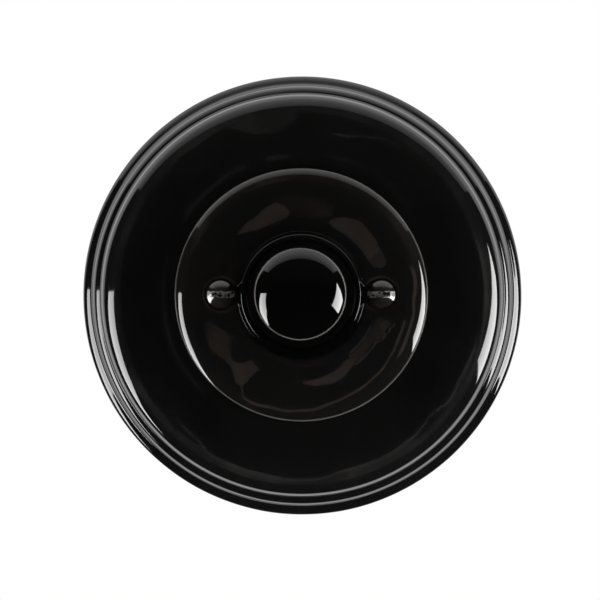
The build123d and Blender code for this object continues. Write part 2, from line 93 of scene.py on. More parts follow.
def ranged(key, pair):  # the two sockets of a range
    return {key + " Min": pair[0], key + " Max": pair[1]}


def perMm(size):  # a texture's scale from the real size of its pattern in millimetres
    return 1 / (size * mm)


# Black glazed porcelain: fired glass over a white body. Mirror gloss and soft waves, near-black where it lies thick,
# warmer where it lies thin, a few pinholes. Chalky where wiped off. Painted into the tone as well: shade, highlights
# and reflections, and a grey line along edges that is a painted reflection of the backdrop where the glaze breaks.
glaze = {
    "tones": [(0.0, "#040404"), (0.3, "#151515"), (0.55, "#1a1817"), (1.0, "#3b3531")], "edge": "#77736f",
    "body": ("#c4b9a8", "#d9d0c1"), "bodyRough": 0.85, "grit": 0.8, "wipe": 5.0, "wipeEdge": (0.97, 1.03),
    "gloss": (0.035, 0.065), "cloud": 14.0, "cloudRange": (0.3, 0.7), "cloudShift": (0.75, 1.25),
    "depth": 0.003, "ripple": 2.2, "swell": 18.0, "swellDepth": 80.0,  # swell and pits in ripple depths
    "pinhole": 9.0, "pinholeSize": 0.022, "pinholeDepth": 6.0,
}


def makeGlaze():
    material, add, shader, place = newMaterial("blackGlazedPorcelain", IOR=1.62)
    # the tone attribute carries thin glaze together with painted shade, highlights and reflections; the edge attribute
    # is a painted reflection of the backdrop where the glaze breaks
    painted = [add("Attribute", attribute_name=name) for name in ("warm", "grey", "thinAndSheen", "bare")]
    warm, grey, thinAndSheen, bare = [node.outputs["Fac"] for node in painted]
    cloud = add("TexNoise", {"Vector": place, "Scale": perMm(glaze["cloud"]), "Detail": 3.0})
    shift = add("MapRange", {"Value": cloud, **ranged("From", glaze["cloudRange"]),
                             **ranged("To", glaze["cloudShift"])})
    amount = add("Math", {0: warm, 1: shift}, operation="MULTIPLY")
    tone = add("ValToRGB", {"Fac": amount})
    while len(tone.color_ramp.elements) < len(glaze["tones"]):
        tone.color_ramp.elements.new(0.5)
    for stop, (position, shade) in zip(tone.color_ramp.elements, glaze["tones"]):
        stop.position, stop.color = position, linear(shade)
    neutral = add("RGBToBW", {"Color": tone})
    hue = add("Mix", {0: grey, 6: tone, 7: neutral}, data_type="RGBA")
    # grey edge line: painted reflection of the backdrop, where the glaze breaks over the edge
    brokenEdgeAndSheen = add("Mix", {0: thinAndSheen, 6: hue, 7: linear(glaze["edge"])}, data_type="RGBA")
    drift = add("TexNoise", {"Vector": place, "Scale": perMm(glaze["wipe"]), "Detail": 4.0})
    uneven = add("Math", {0: bare, 1: drift}, operation="ADD")
    wiped = add("MapRange", {"Value": uneven, **ranged("From", glaze["wipeEdge"])})
    grit = add("TexNoise", {"Vector": place, "Scale": perMm(glaze["grit"]), "Detail": 3.0})
    chalk = add("Mix", {0: grit, 6: linear(glaze["body"][0]), 7: linear(glaze["body"][1])}, data_type="RGBA")
    colour = add("Mix", {0: wiped, 6: brokenEdgeAndSheen, 7: chalk}, data_type="RGBA")
    haze = add("MapRange", {"Value": cloud, **ranged("To", glaze["gloss"])})
    rough = add("Mix", {0: wiped, 2: haze, 3: glaze["bodyRough"]})
    ripple = add("TexNoise", {"Vector": place, "Scale": perMm(glaze["ripple"]), "Detail": 1.0})
    spots = add("TexVoronoi", {"Vector": place, "Scale": perMm(glaze["pinhole"])})
    pits = add("MapRange", {"Value": spots, "From Max": glaze["pinholeSize"],
                            **ranged("To", (-glaze["pinholeDepth"], 0.0))})
    swell = add("TexNoise", {"Vector": place, "Scale": perMm(glaze["swell"]), "Detail": 0.0})
    relief = add("Math", {0: ripple, 1: pits}, operation="ADD")
    height = add("Math", {0: swell, 1: glaze["swellDepth"], 2: relief}, operation="MULTIPLY_ADD")
    bump = add("Bump", {"Height": height, "Distance": glaze["depth"] * mm})
    setInputs(shader, {"Base Color": colour, "Roughness": rough, "Normal": bump})
    return material


# Blackened steel under clear lacquer: dark with a glassy skin, bright metal where a driver scraped the slot.
lacquer = {"skin": "#25201e", "metal": "#e4deda", "dull": "#8c8581", "slotHalf": 0.575, "scrape": 0.24, "chip": 0.7,
           "chipRange": (0.42, 0.56), "gloss": (0.05, 0.2), "scuff": 0.5, "depth": 0.004}


def makeLacquer():
    material, add, shader, place = newMaterial("lacqueredBlackSteel", IOR=2.05)
    axes = add("SeparateXYZ", {0: place})
    across = add("Math", {0: axes.outputs["Z"]}, operation="ABSOLUTE")
    away = add("Math", {0: across, 1: lacquer["slotHalf"] * mm}, operation="SUBTRACT")
    near = add("Math", {0: away}, operation="ABSOLUTE")
    edge = add("MapRange", {"Value": near, "From Max": lacquer["scrape"] * mm, **ranged("To", (1.0, 0.0))})
    slot = add("Math", {0: away, 1: 0.0}, operation="LESS_THAN")
    chips = add("TexNoise", {"Vector": place, "Scale": perMm(lacquer["chip"]), "Detail": 3.0})
    share = add("MapRange", {"Value": chips, **ranged("From", lacquer["chipRange"])})
    worn = add("Math", {0: edge, 1: share}, operation="MULTIPLY")
    inside = add("Math", {0: slot, 1: share}, operation="MULTIPLY")
    scraped = add("Mix", {0: inside, 6: linear(lacquer["skin"]), 7: linear(lacquer["dull"])}, data_type="RGBA")
    colour = add("Mix", {0: worn, 6: scraped, 7: linear(lacquer["metal"])}, data_type="RGBA")
    rough = add("MapRange", {"Value": chips, **ranged("To", lacquer["gloss"])})
    scuffed = add("Math", {0: inside, 1: worn}, operation="MAXIMUM")
    dulled = add("Math", {0: scuffed, 1: lacquer["scuff"], 2: rough}, operation="MULTIPLY_ADD")
    bump = add("Bump", {"Height": chips, "Distance": lacquer["depth"] * mm})
    setInputs(shader, {"Base Color": colour, "Metallic": worn, "Roughness": dulled, "Normal": bump})
    return material


porcelain = makeGlaze()
blackSteel = makeLacquer()
print("porcelain and lacquer made")


def chain(start, heading, moves, step):  # arcs (radius, turn) and straight runs (length, 0), no corners
    r, h = start
    angle = radians(heading)
    points = [start]
    for size, turn in moves:
        count = max(2, ceil(abs(turn) / step)) if turn else 1
        for _ in range(count):
            if turn:
                after = angle + radians(turn) / count
                side = size if turn > 0 else -size
                r, h = r + side * (sin(after) - sin(angle)), h + side * (cos(angle) - cos(after))
                angle = after
            else:
                r, h = r + size * cos(angle), h + size * sin(angle)
            points.append((r, h))
    return points


def softened(corners):  # corners (r, h, rounding) of an open line, each rounded
    points = []
    steps = 4
    for i, (r, h, rounding) in enumerate(corners):
        here = Vector((r, h))
        if not rounding:
            points.append((r, h))
            continue
        before = Vector(corners[i - 1][:2]) - here
        after = Vector(corners[i + 1][:2]) - here
        first = here + before.normalized() * rounding
        last = here + after.normalized() * rounding
        for k in range(steps + 1):
            t = k / steps
            points.append(tuple(first * (1 - t) ** 2 + here * 2 * t * (1 - t) + last * t**2))
    return points


def newTree(name, sockets):
    tree = bpy.data.node_groups.new(name, "GeometryNodeTree")
    made = {}
    for label, kind in {"Geometry": "Geometry", **sockets}.items():
        made[label] = tree.interface.new_socket(label, in_out="INPUT", socket_type=f"NodeSocket{kind}").identifier
    tree.interface.new_socket("Geometry", in_out="OUTPUT", socket_type="NodeSocketGeometry")
    add = partial(addNode, tree)
    return tree, made, add, add("NodeGroupInput").outputs


def endTree(add, shape, material):
    real = add("GeometryNodeRealizeInstances", {0: shape})
    done = add("GeometryNodeSetMaterial", {"Geometry": real, "Material": material})
    add("NodeGroupOutput", {0: done})


weld = {"path": 1e-6, "merge": 2e-6, "clean": 1e-7}  # metres: the sweep's path is all but a point


# A piece turned on the wheel: its half outline swept round the axis, which looks out of the wall
def makeTurnedTree():
    tree, sockets, add, given = newTree("turnedPiece", {"Segments": "Int", "Material": "Material"})
    path = add("GeometryNodeCurvePrimitiveCircle", {"Resolution": given["Segments"], "Radius": weld["path"]})
    swept = add("GeometryNodeCurveToMesh", {0: path, 1: given["Geometry"]})
    stood = add("GeometryNodeTransform", {"Geometry": swept, "Rotation": (radians(90), 0, 0)})
    closed = add("GeometryNodeMergeByDistance", {"Geometry": stood, "Distance": weld["merge"]})
    endTree(add, closed, given["Material"])
    return tree, sockets


# Glaze as it ran in the kiln: slow waves along the normal, and one smooth skin between true edges
def makeGlazeTree():
    tree, sockets, add, given = newTree("glazeCoat", {"Wave Height": "Float", "Wave Scale": "Float", "Drift": "Float",
                                                      "Edge Angle": "Float", "Material": "Material"})
    wave = add("TexNoise", {"W": given["Drift"], "Scale": given["Wave Scale"], "Detail": 1.0}, noise_dimensions="4D")
    level = add("MapRange", {"Value": wave, **ranged("To", (-1.0, 1.0))})
    size = add("Math", {0: level, 1: given["Wave Height"]}, operation="MULTIPLY")
    normal = add("GeometryNodeInputNormal")
    push = add("VectorMath", {0: normal, "Scale": size}, operation="SCALE")
    moved = add("GeometryNodeSetPosition", {"Geometry": given["Geometry"], "Offset": push})
    smooth = add("GeometryNodeSetShadeSmooth", {"Geometry": moved, "Shade Smooth": True})
    angle = add("GeometryNodeInputMeshEdgeAngle")
    sharp = add("FunctionNodeCompare", {0: angle, 1: given["Edge Angle"]}, data_type="FLOAT", operation="GREATER_THAN")
    split = add("GeometryNodeSetShadeSmooth", {"Geometry": smooth, "Selection": sharp, "Shade Smooth": False},
                domain="EDGE")
    endTree(add, split, given["Material"])
    return tree, sockets


saw = {"length": 12.0, "height": 4.0}  # mm, larger than any head


# Slotted screws: one turned blank, its slot sawn out, set at each place
def makeScrewTree():
    tree, sockets, add, given = newTree("slottedScrews", {
        "Segments": "Int", "Slot Width": "Float", "Slot Level": "Float", "Spacing": "Float", "Material": "Material"})
    path = add("GeometryNodeCurvePrimitiveCircle", {"Resolution": given["Segments"], "Radius": weld["path"]})
    swept = add("GeometryNodeCurveToMesh", {0: path, 1: given["Geometry"]})
    blank = add("GeometryNodeMergeByDistance", {"Geometry": swept, "Distance": weld["merge"]})
    size = add("CombineXYZ", {"X": saw["length"] * mm, "Y": given["Slot Width"], "Z": saw["height"] * mm})
    blade = add("GeometryNodeMeshCube", {"Size": size})
    lift = add("Math", {0: given["Slot Level"], 1: saw["height"] / 2 * mm}, operation="ADD")
    up = add("CombineXYZ", {"Z": lift})
    placed = add("GeometryNodeTransform", {"Geometry": blade, "Translation": up})
    sawn = add("GeometryNodeMeshBoolean", {0: blank, 1: placed}, operation="DIFFERENCE", solver="EXACT")
    stood = add("GeometryNodeTransform", {"Geometry": sawn, "Rotation": (radians(90), 0, 0)})
    half = add("Math", {0: given["Spacing"], 1: -0.5}, operation="MULTIPLY")
    left = add("CombineXYZ", {"X": half})
    step = add("CombineXYZ", {"X": given["Spacing"]})
    places = add("GeometryNodeMeshLine", {"Count": 2, "Start Location": left, "Offset": step})
    pair = add("GeometryNodeInstanceOnPoints", {"Points": places, "Instance": stood})
    endTree(add, pair, given["Material"])
    return tree, sockets


turnedTree = makeTurnedTree()
glazeTree = makeGlazeTree()
screwTree = makeScrewTree()


def outlineCurve(name, points, closed):  # half outline in millimetres: distance from the axis, height off the wall
    curve = bpy.data.curves.new(name, "CURVE")
    curve.dimensions = "3D"
    line = curve.splines.new("POLY")
    line.points.add(len(points) - 1)
    for point, (r, h) in zip(line.points, points):
        point.co = (r * mm, -h * mm, 0, 1)  # the sweep turns the height over
    line.use_cyclic_u = closed
    return newObject(name, curve)


def applyTrees(name, source, steps):  # runs the trees on a source object and keeps the result as a plain mesh
    for (tree, sockets), values in steps:
        modifier = source.modifiers.new(tree.name, "NODES")
        modifier.node_group = tree
        for label, value in values.items():
            modifier[sockets[label]] = value
    mesh = bpy.data.meshes.new_from_object(source.evaluated_get(bpy.context.evaluated_depsgraph_get()))
    mesh.name = name
    made = newObject(name, mesh)
    bpy.data.objects.remove(source)
    return made


def facingOut(piece):
    work = bmesh.new()
    work.from_mesh(piece.data)
    bmesh.ops.remove_doubles(work, verts=work.verts, dist=weld["clean"])
    bmesh.ops.dissolve_degenerate(work, edges=work.edges, dist=weld["clean"])
    bmesh.ops.recalc_face_normals(work, faces=work.faces)
    loose = sum(not edge.is_manifold for edge in work.edges)
    work.to_mesh(piece.data)
    work.free()
    print(piece.name, len(piece.data.polygons), "faces,", loose, "open edges")


def paintPoints(piece, name, rule):  # rule(distance from the axis, height off the wall, vertex), in millimetres
    layer = piece.data.attributes.new(name, "FLOAT", "POINT")
    for vertex, value in zip(piece.data.vertices, layer.data):
        value.value = rule(hypot(vertex.co.x, vertex.co.z) / mm, -vertex.co.y / mm, vertex)


def ease(value):
    t = max(0.0, min(1.0, value))
    return t * t * (3 - 2 * t)


def fadeIn(value, start, width):
    return ease((value - start) / width)


def between(value, low, high, soft):  # 1 from low to high, falling to 0 inside each end
    return fadeIn(value, low, soft) * ease((high - value) / soft)


def clockwise(vertex):  # degrees from the top, seen from the front
    return degrees(atan2(vertex.co.x, vertex.co.z)) % 360


def nearLine(path, turn, r, width):  # 1 on a line of (turn, distance) points, falling to 0 at width and at its ends
    fade = 12  # degrees at each end
    for (turn0, r0), (turn1, r1) in zip(path, path[1:]):
        if turn0 <= turn < turn1:
            at = r0 + (r1 - r0) * fadeIn(turn, turn0, turn1 - turn0)
            return ease(1 - abs(r - at) / width) * between(turn, path[0][0], path[-1][0], fade)
    return 0.0


def inOutline(outline, turn, r, soft):  # 1 inside (turn, from distance, to distance) points, falling to 0 at the edge
    for (turn0, inner0, outer0), (turn1, inner1, outer1) in zip(outline, outline[1:]):
        if turn0 <= turn < turn1:
            share = (turn - turn0) / (turn1 - turn0)
            return between(r, inner0 + (inner1 - inner0) * share, outer0 + (outer1 - outer0) * share, soft)
    return 0.0


def thinGlazeAndReflections(marks, plain, turn, r, wander):  # tone of the glaze: plain, more where it lies thin in the fields, which also carry painted reflection, and along lines of painted reflection
    turn, r = turn + marks["drift"][0] * wander.x, r + marks["drift"][1] * wander.y
    thinAndSheen = plain
    for field, outline in marks["fields"]:
        thinAndSheen = max(thinAndSheen, plain + (field - plain) * inOutline(outline, turn, r, marks["soft"]))
    for run, width, path in marks["runs"]:
        thinAndSheen = max(thinAndSheen, plain + (run - plain) * nearLine(path, turn, r, width))
    return thinAndSheen


coat = {"wave": 0.035, "length": 13.0, "edge": radians(38), "seed": 3}  # waves in mm, edge where the skin breaks
noise.seed_set(coat["seed"])


def coatValues(drift):
    return {"Wave Height": coat["wave"] * mm, "Wave Scale": perMm(coat["length"]), "Drift": drift,
            "Edge Angle": coat["edge"], "Material": porcelain}


# Porcelain frame: plain rim, two soft steps, crowned plate, flat seat for the cover, hollow back
rim = {
    "radius": 50.0, "foot": 6.0, "footRound": 0.6, "height": 1.0, "segments": 384,
    "steps": [(0.9, 38), (4.8, 17), (0.4, 0), (2.0, -33), (0.8, 0), (2.6, 27), (5.0, 8), (0.2, 0),
              (0.8, -35), (1.4, 0), (2.6, 16), (5.8, 11), (13.4, 38)],
    "crownSlope": 3.0, "crownParts": 10, "seat": 29.1, "aperture": 26.5, "wall": 4.2, "ringWall": 3.2,
    "ringDepth": 6.4, "seatRound": 0.5, "ringRound": 0.6, "rootRound": 0.8, "hollowRound": 3.0, "backRound": 0.5,
    "warm": 0.3, "drift": 1.3,
    "wiped": {"facing": -0.3, "wall": 0.3, "ring": 0.5, "ceiling": 0.4, "foot": 0.85, "footHeight": 0.9},
}
front = chain((rim["radius"], rim["height"]), 90, rim["steps"], step=2.5)
crownR, crownH = front[-1]
seatLevel = crownH + (crownR - rim["seat"]) * tan(radians(rim["crownSlope"]))

# The plate's tone: thin glaze, and reflections painted along its border and in lines. Turns are clockwise from the
# top, in degrees, distances in mm.
plateToneAndReflections = {
    "within": (29.2, 43.6), "face": 0.25, "sides": 0.06, "border": 0.4, "borderAt": 40.7, "borderSoft": 0.8,
    "borderDrift": 0.3, "soft": 0.9, "wander": 6.0, "drift": (1.5, 0.25), "grey": 0.8,
    "fields": [  # tone and outline: turn, from distance, to distance; thin glaze with painted reflection
        (0.74, [(336, 40.5, 41.2), (343, 37.0, 42.4), (351, 36.0, 42.4), (356, 38.0, 42.0), (359, 40.0, 41.0)]),
        (0.68, [(302, 30.6, 32.0), (308, 30.2, 33.0), (320, 30.4, 32.4), (334, 30.2, 33.0), (340, 31.0, 31.6)]),
        (0.68, [(342, 31.0, 31.6), (347, 30.4, 32.8), (354, 30.4, 32.8), (358, 31.0, 31.8)]),
        (0.64, [(222, 31.0, 31.4), (228, 30.2, 32.2), (250, 30.2, 32.4), (262, 30.2, 32.0), (284, 30.6, 31.8),
                (288, 31.0, 31.4)]),
    ],
    "runs": [  # tone, width and line of painted reflection: turn, distance
        (0.85, 0.8, [(66, 41.1), (80, 41.5), (91, 41.7), (120, 42.2)]),
        (0.9, 0.8, [(98, 40.9), (118, 40.5), (125, 40.9), (133, 39.8), (142, 40.7), (151, 41.0), (166, 40.8),
                    (175, 41.6), (195, 41.6), (208, 41.5), (217, 40.2), (232, 39.2)]),
        (0.78, 0.9, [(2, 36.0), (14, 37.0), (22, 38.6), (29, 39.8), (44, 41.2)]),
        (0.64, 0.8, [(2, 31.9), (18, 31.9), (32, 32.2), (46, 31.2), (58, 31.0)]),
    ],
}


def makeFrame():
    hollow = rim["radius"] - rim["foot"]
    ceiling = seatLevel - rim["wall"]
    ringLow = seatLevel - rim["ringDepth"]
    ringOut = rim["aperture"] + rim["ringWall"]
    parts = rim["crownParts"]
    crown = [(crownR + (rim["seat"] - crownR) * k / parts, crownH + (seatLevel - crownH) * k / parts)
             for k in range(1, parts)]
    back = softened([
        (rim["seat"], seatLevel, 0),
        (rim["aperture"], seatLevel, rim["seatRound"]),
        (rim["aperture"], ringLow, rim["ringRound"]),
        (ringOut, ringLow, rim["ringRound"]),
        (ringOut, ceiling, rim["rootRound"]),
        (hollow, ceiling, rim["hollowRound"]),
        (hollow, 0, rim["backRound"]),
        (rim["radius"], 0, rim["footRound"]),
        (rim["radius"], rim["height"], 0),
    ])
    outline = outlineCurve("frameOutline", front + crown + back[:-1], True)
    piece = applyTrees("glazedFrame", outline, [
        (turnedTree, {"Segments": rim["segments"], "Material": porcelain}),
        (glazeTree, coatValues(rim["drift"])),
    ])
    facingOut(piece)

    wipe = rim["wiped"]

    def wiped(r, h, vertex):  # the foot and the hollow back are left unglazed
        behind = vertex.normal.y > wipe["facing"] and h < ceiling + wipe["ceiling"]
        if behind and hollow + wipe["wall"] > r > ringOut - wipe["ring"]:
            return 1.0
        return max(0.0, wipe["foot"] - h / wipe["footHeight"])

    first, last = plateToneAndReflections["within"]
    soft = plateToneAndReflections["borderSoft"]

    def plateToneWithReflections(r, h, vertex):  # darker at the sides than at top and bottom; its border lighter, a painted reflection
        if not first < r < last or vertex.normal.y > 0:
            return rim["warm"]
        turn = clockwise(vertex)
        wander = noise.noise_vector(vertex.co / (plateToneAndReflections["wander"] * mm))
        plain = plateToneAndReflections["face"] + plateToneAndReflections["sides"] * cos(radians(2 * turn))
        plain += plateToneAndReflections["border"] * fadeIn(r + plateToneAndReflections["borderDrift"] * wander.y, plateToneAndReflections["borderAt"], soft)
        plain = rim["warm"] + (plain - rim["warm"]) * ease((last - r) / soft)
        # fields of thin glaze and painted reflection, lines of painted reflection
        return thinGlazeAndReflections(plateToneAndReflections, plain, turn, r, wander)

    paintPoints(piece, "bare", wiped)
    paintPoints(piece, "warm", plateToneWithReflections)
    paintPoints(piece, "grey", lambda r, h, vertex: plateToneAndReflections["grey"])
    return piece


frontFrame = makeFrame()
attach(frontFrame, "base")
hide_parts("porcelain_frame")


# Porcelain cover: rolled edge, slightly crowned face, collar round the knob, two shallow dished screw seats
lid = {
    "radius": 28.5, "lip": 0.4, "edge": [(0.6, 43), (8.0, 40)], "faceRadius": 114.0, "innerSlope": 2.5, "hole": 12.0,
    "collarWidth": 2.2, "collarHeight": 1.9, "fillet": 0.12, "collarRound": 0.45, "wallSlope": 66, "skirtOut": 26.2,
    "skirtIn": 23.8, "skirtDepth": 2.6, "bossRadius": 4.2, "bossDepth": 2.2, "chamfer": 0.3, "holeDrop": 0.2,
    "innerTurn": 88, "faceGap": 0.2, "segments": 384, "drift": 4.1, "breakAndSheenRim": (-0.25, 0.15), "breakAndSheenHeight": 0.3,
}
recess = {"spacing": 36.0, "depth": 0.45, "floor": 3.2, "lip": 4.5, "shank": 2.05, "segments": 168, "reach": 4.6,
          "margin": 0.05, "blend": 0.5, "floorRings": [2.6, 3.0], "slopeParts": 16}


def makeCoverOutline():
    edge = chain((lid["radius"], seatLevel + lid["lip"]), 90, lid["edge"], step=2.5)
    outerSlope = 90 - sum(turn for _, turn in lid["edge"])
    face = chain(edge[-1], 180 - outerSlope, [(lid["faceRadius"], outerSlope - lid["innerSlope"])], step=0.25)
    collarR = lid["hole"] + lid["collarWidth"]
    wallSlope = lid["wallSlope"]
    footR = collarR + lid["fillet"] * tan(radians(wallSlope / 2))
    face = [point for point in face[1:] if point[0] > footR + lid["faceGap"]]
    slope = tan(radians(lid["innerSlope"]))
    footH = face[-1][1] + (face[-1][0] - footR) * slope
    top = footH + (footR - collarR) * slope + lid["collarHeight"]
    foot = chain((footR, footH), 180 - lid["innerSlope"], [(lid["fillet"], lid["innerSlope"] - wallSlope)], step=8)
    roundH = top - lid["collarRound"] * (1 - cos(radians(wallSlope)))
    roundR = foot[-1][0] - (roundH - foot[-1][1]) / tan(radians(wallSlope))
    outer = chain((roundR, roundH), 180 - wallSlope, [(lid["collarRound"], wallSlope)], step=6)
    inner = chain((lid["hole"] + lid["collarRound"], top), 180, [(lid["collarRound"], lid["innerTurn"])], step=9)
    plain = edge + face + [(0.0, footH + footR * slope)]
    return edge + face + foot + outer + inner, plain, top


coverOutline, plainOutline, collarTop = makeCoverOutline()
screwX = recess["spacing"] / 2


def levelAt(outline, r):  # height of an outline whose distance from the axis falls from point to point
    low, high = 0, len(outline) - 1
    while high - low > 1:
        middle = (low + high) // 2
        if outline[middle][0] > r:
            low = middle
        else:
            high = middle
    (r0, h0), (r1, h1) = outline[low], outline[high]
    return h0 + (h1 - h0) * max(0.0, min(1.0, (r0 - r) / max(r0 - r1, 1e-9)))


recessFloor = levelAt(plainOutline, screwX) - recess["depth"]


def topLevel(x, z):
    r = hypot(x, z)
    level = levelAt(coverOutline, r)
    rho = hypot(abs(x) - screwX, z)
    if rho < recess["reach"]:
        face = levelAt(plainOutline, r)
        dish = (face - recessFloor) * fadeIn(rho, recess["floor"], recess["lip"] - recess["floor"])
        level = recessFloor + dish + (level - face) * fadeIn(rho, recess["floor"], recess["blend"])
    return level


def circle(r, count, x=0.0):
    return [(x + r * cos(2 * pi * k / count), r * sin(2 * pi * k / count)) for k in range(count)]


# The cover's tone: thin glaze, painted reflections, painted highlights and painted shade. Turns are clockwise from the
# top, in degrees, distances in mm.
coverToneAndPaintedLight = {
    "face": 0.33, "border": 0.52, "borderLean": 0.14, "borderFrom": (25.3, 0.8), "soft": 0.8, "wander": 4.5,
    "drift": (3.0, 0.35), "mottle": 0.05, "lip": 0.3, "lipAt": (3.5, 4.4, 0.3), "headShade": (3.15, 0.35),
    "collar": 0.35, "collarFrom": (12.2, 0.3), "faceFrom": (14.3, 0.6),
    "fields": [  # tone and outline: turn, from distance, to distance; thin glaze with painted reflection
        (0.88, [(18, 17.2, 17.4), (23, 16.4, 19.2), (30, 16.1, 20.6), (38, 16.1, 21.5), (54, 16.2, 21.5),
                (62, 16.4, 20.8)]),
        (0.66, [(56, 16.2, 21.3), (64, 16.3, 21.4), (70, 16.8, 21.2), (73, 18.8, 19.6)]),
        (0.8, [(104, 18.0, 19.0), (108, 17.0, 21.8), (116, 16.9, 21.2), (125, 16.9, 20.0), (138, 16.9, 20.0),
               (146, 18.0, 19.6)]),
        (0.98, [(136, 18.4, 19.2), (142, 17.8, 20.2), (153, 18.0, 21.2), (163, 18.3, 21.5), (172, 18.7, 21.1),
                (181, 19.2, 20.2)]),
        (0.7, [(176, 19.0, 20.6), (184, 19.2, 20.4), (195, 19.5, 20.2)]),
        (0.84, [(207, 19.0, 19.4), (210, 18.3, 22.6), (214, 18.0, 25.2), (218, 17.8, 25.3), (222, 19.8, 22.6),
                (226, 20.6, 22.4)]),
        (0.82, [(216, 20.0, 24.8), (224, 20.4, 22.8), (230, 20.2, 22.9), (238, 18.0, 24.6), (246, 18.2, 24.0),
                (252, 20.0, 22.9), (255, 21.2, 21.8)]),
        (0.8, [(220, 24.0, 24.9), (227, 24.1, 25.2), (240, 23.6, 24.6)]),
        (1.0, [(309, 20.0, 20.3), (318, 18.2, 20.3), (326, 17.2, 20.6), (338, 16.4, 21.5), (344, 16.4, 22.0),
               (350, 16.9, 20.8), (354, 18.4, 18.8)]),
        (0.58, [(0, 16.4, 22.6), (12, 16.6, 22.4), (20, 18.0, 21.4)]),
        (0.58, [(344, 18.6, 22.6), (352, 17.0, 22.8), (360, 16.4, 22.6)]),
        (0.5, [(256, 15.2, 26.0), (270, 15.0, 26.0), (286, 15.0, 25.4), (300, 15.4, 19.4), (310, 15.4, 17.4)]),
    ],
    "runs": [  # tone, width and line of painted reflection: turn, distance
        (1.0, 0.75, [(68, 25.0), (80, 25.7), (95, 25.4), (110, 25.6), (130, 25.9)]),
        (1.0, 0.65, [(96, 23.6), (112, 24.0), (122, 24.3), (135, 24.7), (150, 25.0), (165, 25.3), (180, 25.9)]),
        (0.88, 0.8, [(160, 25.3), (172, 25.9), (185, 26.1), (195, 26.3), (205, 26.5), (216, 26.5)]),
        (0.85, 0.5, [(196, 26.8), (210, 26.4), (213, 25.2), (216, 24.2), (224, 24.0)]),
        (1.0, 0.55, [(100, 21.0), (109, 21.9), (116, 21.1), (124, 19.9), (134, 19.8), (150, 19.9)]),
        (1.0, 0.55, [(104, 17.0), (124, 17.1), (137, 17.0), (145, 18.0), (156, 18.3)]),
        (0.85, 0.4, [(212, 18.1), (220, 17.8), (230, 18.0), (250, 18.1)]),
        (0.66, 0.6, [(150, 15.5), (168, 15.9), (186, 15.8), (205, 15.4), (222, 15.9), (238, 16.1), (254, 15.6)]),
    ],
}


def coverToneWithPaintedLight(r, h, vertex):  # thin in fields, with painted reflections in them and in lines, a painted highlight on the screw seats' rims, painted shadow round the heads, painted shade round the knob
    turn = clockwise(vertex)
    wander = noise.noise_vector(vertex.co / (coverToneAndPaintedLight["wander"] * mm))
    # a lighter band inside the rim, lighter towards the top: painted reflection
    border = coverToneAndPaintedLight["border"] + coverToneAndPaintedLight["borderLean"] * cos(radians(turn))
    plain = coverToneAndPaintedLight["face"] + (border - coverToneAndPaintedLight["face"]) * fadeIn(r, *coverToneAndPaintedLight["borderFrom"])
    thinAndSheen = thinGlazeAndReflections(coverToneAndPaintedLight, plain, turn, r, wander) + coverToneAndPaintedLight["mottle"] * wander.z
    seat = hypot(abs(vertex.co.x) / mm - screwX, vertex.co.z / mm)
    # a lighter ring on each screw seat's rim: painted highlight
    lip = coverToneAndPaintedLight["lip"] * between(seat, *coverToneAndPaintedLight["lipAt"])
    # darkest round each head, inside the seat: painted shadow
    face = (thinAndSheen + lip) * fadeIn(seat, *coverToneAndPaintedLight["headShade"])
    # round the knob the tone falls dark, a painted shade of the knob, and is lighter on the collar's top, a painted
    # highlight
    collar = coverToneAndPaintedLight["collar"] * fadeIn(r, *coverToneAndPaintedLight["collarFrom"]) * max(0.0, cos(radians(turn)))
    return collar + (face - collar) * fadeIn(r, *coverToneAndPaintedLight["faceFrom"])


